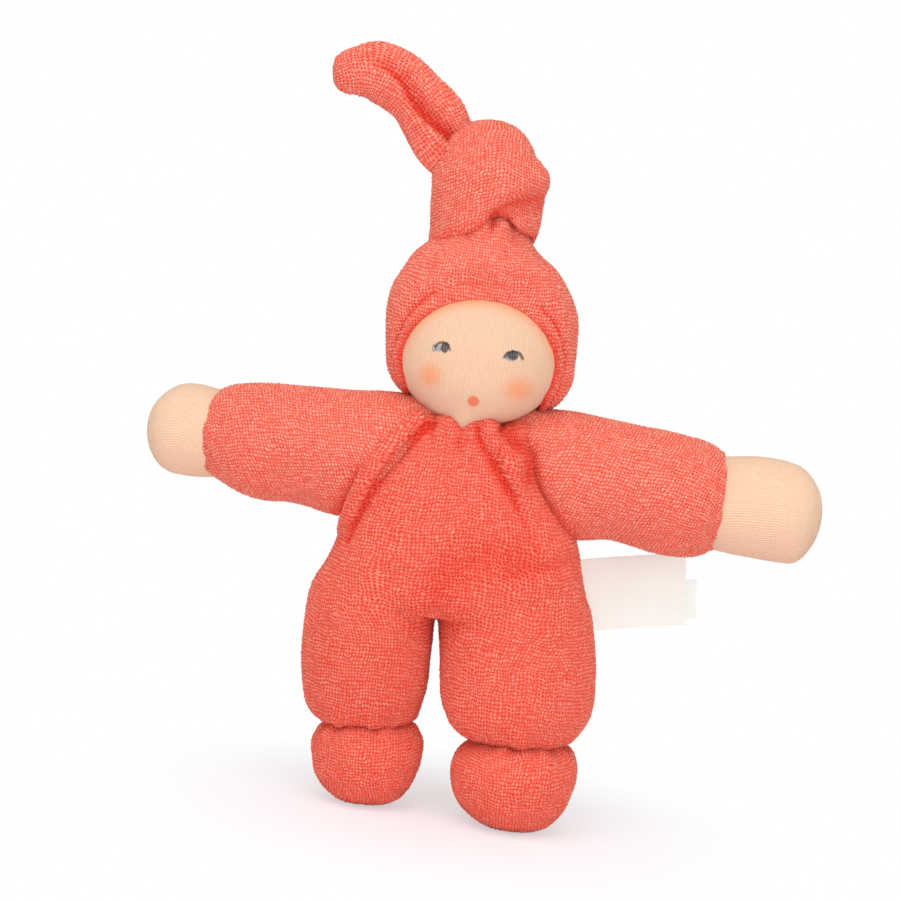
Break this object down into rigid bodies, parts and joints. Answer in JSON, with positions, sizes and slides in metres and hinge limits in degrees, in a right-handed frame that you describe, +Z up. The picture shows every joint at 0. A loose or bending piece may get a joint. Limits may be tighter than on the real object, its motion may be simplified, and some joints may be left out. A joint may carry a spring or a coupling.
{
  "type": "waldorf doll",
  "caption": "Small soft waldorf doll in a terry romper with a knotted hood, jersey head and hands, ball feet and two bare cloth labels.",
  "frame": {"origin": "on the floor under the middle of the doll's outline, seen from above", "axes": "+Z up, -Y the way the face looks, +X towards the doll's left hand"},
  "size_m": [0.1768, 0.049, 0.1982],
  "materials": {
    "terry": "looped terry knit, matt",
    "jersey": "fine jersey knit, matt",
    "wool": "carded sheep's wool",
    "thread": "twisted cotton thread",
    "label_cloth": "woven cotton tape, bare"
  },
  "bodies": {
    "body": {"body_front": "terry", "body_back": "terry", "body_wool": "wool", "neckline_thread": "thread"},
    "neck": {"neck": "jersey", "neck_thread": "thread"},
    "head": {"head_skin": "jersey", "head_wool": "wool", "hood": "terry", "hood_knot": "terry"},
    "tail": {"hood_tail": "terry"},
    "left_shoulder": {"left_shoulder_wool": "wool"},
    "left_arm": {"left_sleeve": "terry", "left_arm_wool": "wool", "left_hand_skin": "jersey", "left_hand_wool": "wool"},
    "right_shoulder": {"right_shoulder_wool": "wool"},
    "right_arm": {"right_sleeve": "terry", "right_arm_wool": "wool", "right_hand_skin": "jersey", "right_hand_wool": "wool"},
    "left_leg": {"left_leg_cover": "terry", "left_leg_wool": "wool"},
    "left_foot": {"left_foot_cover": "terry", "left_foot_wool": "wool", "left_ankle_thread": "thread"},
    "right_leg": {"right_leg_cover": "terry", "right_leg_wool": "wool"},
    "right_foot": {"right_foot_cover": "terry", "right_foot_wool": "wool", "right_ankle_thread": "thread"},
    "labels": {"woven_label": "label_cloth", "care_label": "label_cloth"}
  },
  "joints": [
    {"name": "neck_nod", "type": "hinge", "parent": "body", "child": "neck", "pos_m": [-0.0048, -0.0006, 0.1], "axis": [1, 0, 0], "range_deg": [-10, 12], "stiffness_Nm_per_rad": 0.2},
    {"name": "head_turn", "type": "hinge", "parent": "neck", "child": "head", "pos_m": [-0.0048, -0.0006, 0.1], "axis": [0, 0, 1], "range_deg": [-35, 35], "stiffness_Nm_per_rad": 0.08},
    {"name": "tail_flop", "type": "hinge", "parent": "head", "child": "tail", "pos_m": [-0.0161, -0.0006, 0.173], "axis": [0, -1, 0], "range_deg": [-25, 45], "stiffness_Nm_per_rad": 0.01},
    {"name": "left_arm_raise", "type": "hinge", "parent": "body", "child": "left_shoulder", "pos_m": [0.0224, 0.0009, 0.092], "axis": [0, -1, 0], "range_deg": [-25, 30], "stiffness_Nm_per_rad": 0.12},
    {"name": "left_arm_swing", "type": "hinge", "parent": "left_shoulder", "child": "left_arm", "pos_m": [0.0224, 0.0009, 0.092], "axis": [0, 0, 1], "range_deg": [-55, 15], "stiffness_Nm_per_rad": 0.12},
    {"name": "right_arm_raise", "type": "hinge", "parent": "body", "child": "right_shoulder", "pos_m": [-0.0296, 0.0009, 0.092], "axis": [0, 1, 0], "range_deg": [-25, 30], "stiffness_Nm_per_rad": 0.12},
    {"name": "right_arm_swing", "type": "hinge", "parent": "right_shoulder", "child": "right_arm", "pos_m": [-0.0296, 0.0009, 0.092], "axis": [0, 0, -1], "range_deg": [-55, 15], "stiffness_Nm_per_rad": 0.12},
    {"name": "left_leg_swing", "type": "hinge", "parent": "body", "child": "left_leg", "pos_m": [0.0153, 0.0009, 0.054], "axis": [-1, 0, 0], "range_deg": [-25, 60], "stiffness_Nm_per_rad": 0.5},
    {"name": "left_foot_flex", "type": "hinge", "parent": "left_leg", "child": "left_foot", "pos_m": [0.0181, -0.0031, 0.022], "axis": [-1, 0, 0], "range_deg": [-15, 15], "stiffness_Nm_per_rad": 0.4},
    {"name": "right_leg_swing", "type": "hinge", "parent": "body", "child": "right_leg", "pos_m": [-0.0243, 0.0009, 0.054], "axis": [-1, 0, 0], "range_deg": [-25, 60], "stiffness_Nm_per_rad": 0.5},
    {"name": "right_foot_flex", "type": "hinge", "parent": "right_leg", "child": "right_foot", "pos_m": [-0.0213, 0.0049, 0.022], "axis": [-1, 0, 0], "range_deg": [-15, 15], "stiffness_Nm_per_rad": 0.4},
    {"name": "label_flap", "type": "hinge", "parent": "body", "child": "labels", "pos_m": [0.0278, 0.0089, 0.0715], "axis": [0, 0, 1], "range_deg": [-15, 50], "stiffness_Nm_per_rad": 0.003}
  ]
}
